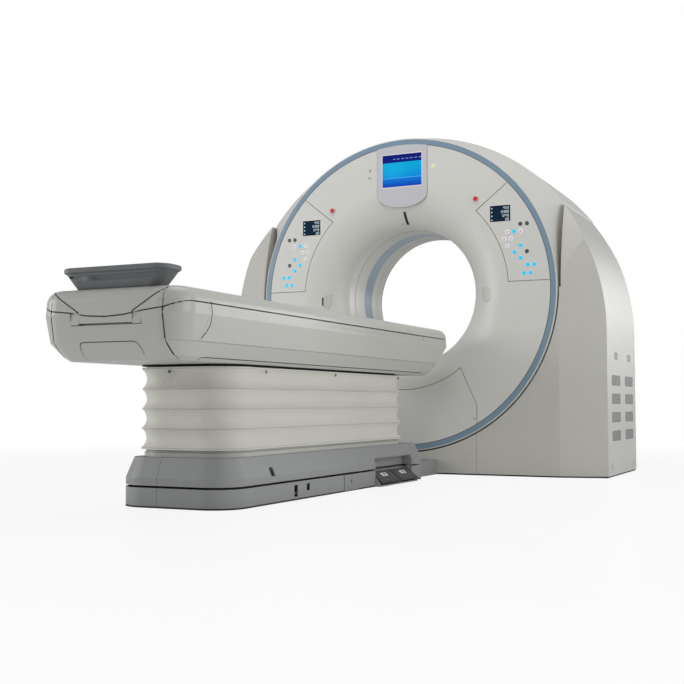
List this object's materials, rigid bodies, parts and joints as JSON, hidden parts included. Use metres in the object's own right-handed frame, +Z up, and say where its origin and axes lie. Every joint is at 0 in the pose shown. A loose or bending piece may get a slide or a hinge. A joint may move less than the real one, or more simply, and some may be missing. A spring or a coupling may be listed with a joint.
{
  "type": "ct scanner",
  "caption": "Ring-shaped tilting scanner gantry between two floor stands, with a patient couch on a telescopic lift, bellows cover and sliding tabletop.",
  "frame": {"origin": "on the floor straight below the isocentre, in the middle of the gantry's floor anchors", "axes": "+Z up; +Y along the bore from the couch to the rear of the gantry; +X to the right of someone who faces the gantry from the couch"},
  "size_m": [2.27, 3.65, 1.94],
  "materials": {
    "aluminium": "extruded and clear-coated",
    "base_grey": "fine-textured mid grey",
    "bellows": "cream coated fabric",
    "cast_alloy": "machined casting",
    "copper": "wound copper under varnish",
    "couch_white": "satin moulded cover, warm white",
    "cover_white": "satin moulded cover, warm grey-white",
    "display": "dark display glass",
    "electronics": "board-filled boxes",
    "frame_steel": "grey paint",
    "grip_grey": "blue-grey moulding",
    "key_cyan": "backlit cyan keys",
    "lamp": "status lamp and dark slot windows",
    "pedal_charcoal": "ribbed charcoal rubber",
    "ring_blue": "satin steel blue",
    "screen_grey": "pale lilac grey",
    "stand_grey": "satin moulded cover, slightly darker grey",
    "steel": "machined steel",
    "stop_red": "gloss red",
    "tabletop": "off-white fibre-reinforced top",
    "tungsten": "dark heavy alloy",
    "vent_dark": "dark grey louvred insert",
    "window_band": "blue-grey translucent band"
  },
  "bodies": {
    "floor_stand": {"floor_frame": "frame_steel", "trunnion_bearings": "steel", "tilt_drive": "frame_steel", "stand_cover_right": "stand_grey", "stand_cover_left": "stand_grey", "vent_grilles": "vent_dark", "lower_front_cover": "stand_grey", "lower_rear_cover": "stand_grey", "cable_duct": "base_grey", "couch_base_band": "base_grey", "couch_base_shroud": "base_grey", "couch_base_plate": "frame_steel", "lift_columns_outer": "aluminium", "lift_power_pack": "frame_steel", "bellows": "bellows", "bellows_lower_strip": "couch_white", "key_plate": "base_grey", "pedal_housing": "base_grey"},
    "gantry_drum": {"tilt_frame": "cast_alloy", "drum_shell": "cover_white", "front_cover": "cover_white", "service_cover": "cover_white", "rear_cover": "cover_white", "front_ring": "ring_blue", "bore_liner": "cover_white", "beam_window_band": "window_band", "screen_surround": "screen_grey", "control_panel_right": "cover_white", "control_panel_left": "cover_white", "displays": "display", "panel_keys": "key_cyan", "lamp_windows": "lamp", "main_bearing_outer": "steel", "drive_stator": "copper", "brush_block": "pedal_charcoal"},
    "rotor": {"rotor_frame": "cast_alloy", "main_bearing_inner": "steel", "slip_ring": "copper", "xray_tube": "steel", "collimator": "tungsten", "detector_array": "electronics", "high_voltage_generator": "frame_steel", "tube_cooler": "aluminium"},
    "couch_top": {"couch_shell": "couch_white", "couch_corner_covers": "couch_white", "couch_foot_cover": "couch_white", "couch_foot_hatch": "couch_white", "couch_lid": "couch_white", "couch_lid_insert": "couch_white", "couch_frame": "frame_steel", "tabletop_drive": "frame_steel", "lift_columns_inner": "aluminium"},
    "column_middle": {"lift_columns_middle": "aluminium"},
    "sliding_top": {"tabletop": "tabletop", "tabletop_carriage": "aluminium", "tabletop_end_grip": "grip_grey"},
    "stop_right": {"stop_button_right": "stop_red"},
    "stop_left": {"stop_button_left": "stop_red"},
    "pedal_head": {"foot_pedal_head": "pedal_charcoal"},
    "pedal_foot": {"foot_pedal_foot": "pedal_charcoal"}
  },
  "joints": [
    {"name": "gantry_tilt", "type": "hinge", "parent": "floor_stand", "child": "gantry_drum", "pos_m": [0, 0, 1.017], "axis": [-1, 0, 0], "range_deg": [-20, 12]},
    {"name": "rotor_spin", "type": "hinge", "parent": "gantry_drum", "child": "rotor", "pos_m": [0, 0, 1.017], "axis": [0, 1, 0], "continuous": true},
    {"name": "couch_lift", "type": "slide", "parent": "floor_stand", "child": "couch_top", "axis": [0, 0, 1], "range_m": [-0.25, 0.12], "deforming": ["bellows"]},
    {"name": "column_extension", "type": "slide", "parent": "floor_stand", "child": "column_middle", "axis": [0, 0, 1], "range_m": [-0.125, 0.06]},
    {"name": "tabletop_travel", "type": "slide", "parent": "couch_top", "child": "sliding_top", "axis": [0, 1, 0], "range_m": [0, 1.4]},
    {"name": "stop_press_right", "type": "slide", "parent": "gantry_drum", "child": "stop_right", "axis": [0, 1, 0], "range_m": [0, 0.004], "stiffness_N_per_m": 900, "springref_m": -0.001},
    {"name": "stop_press_left", "type": "slide", "parent": "gantry_drum", "child": "stop_left", "axis": [0, 1, 0], "range_m": [0, 0.004], "stiffness_N_per_m": 900, "springref_m": -0.001},
    {"name": "pedal_press_head", "type": "hinge", "parent": "floor_stand", "child": "pedal_head", "pos_m": [0.222, -1.141, 0.056], "axis": [0, 1, 0], "range_deg": [0, 5], "stiffness_Nm_per_rad": 12, "springref_deg": -6.88},
    {"name": "pedal_press_foot", "type": "hinge", "parent": "floor_stand", "child": "pedal_foot", "pos_m": [0.222, -1.141, 0.056], "axis": [0, 1, 0], "range_deg": [0, 5], "stiffness_Nm_per_rad": 12, "springref_deg": -6.88}
  ],
  "couplings": [
    {"joint": "column_extension", "follows": "couch_lift", "ratio": 0.5}
  ]
}
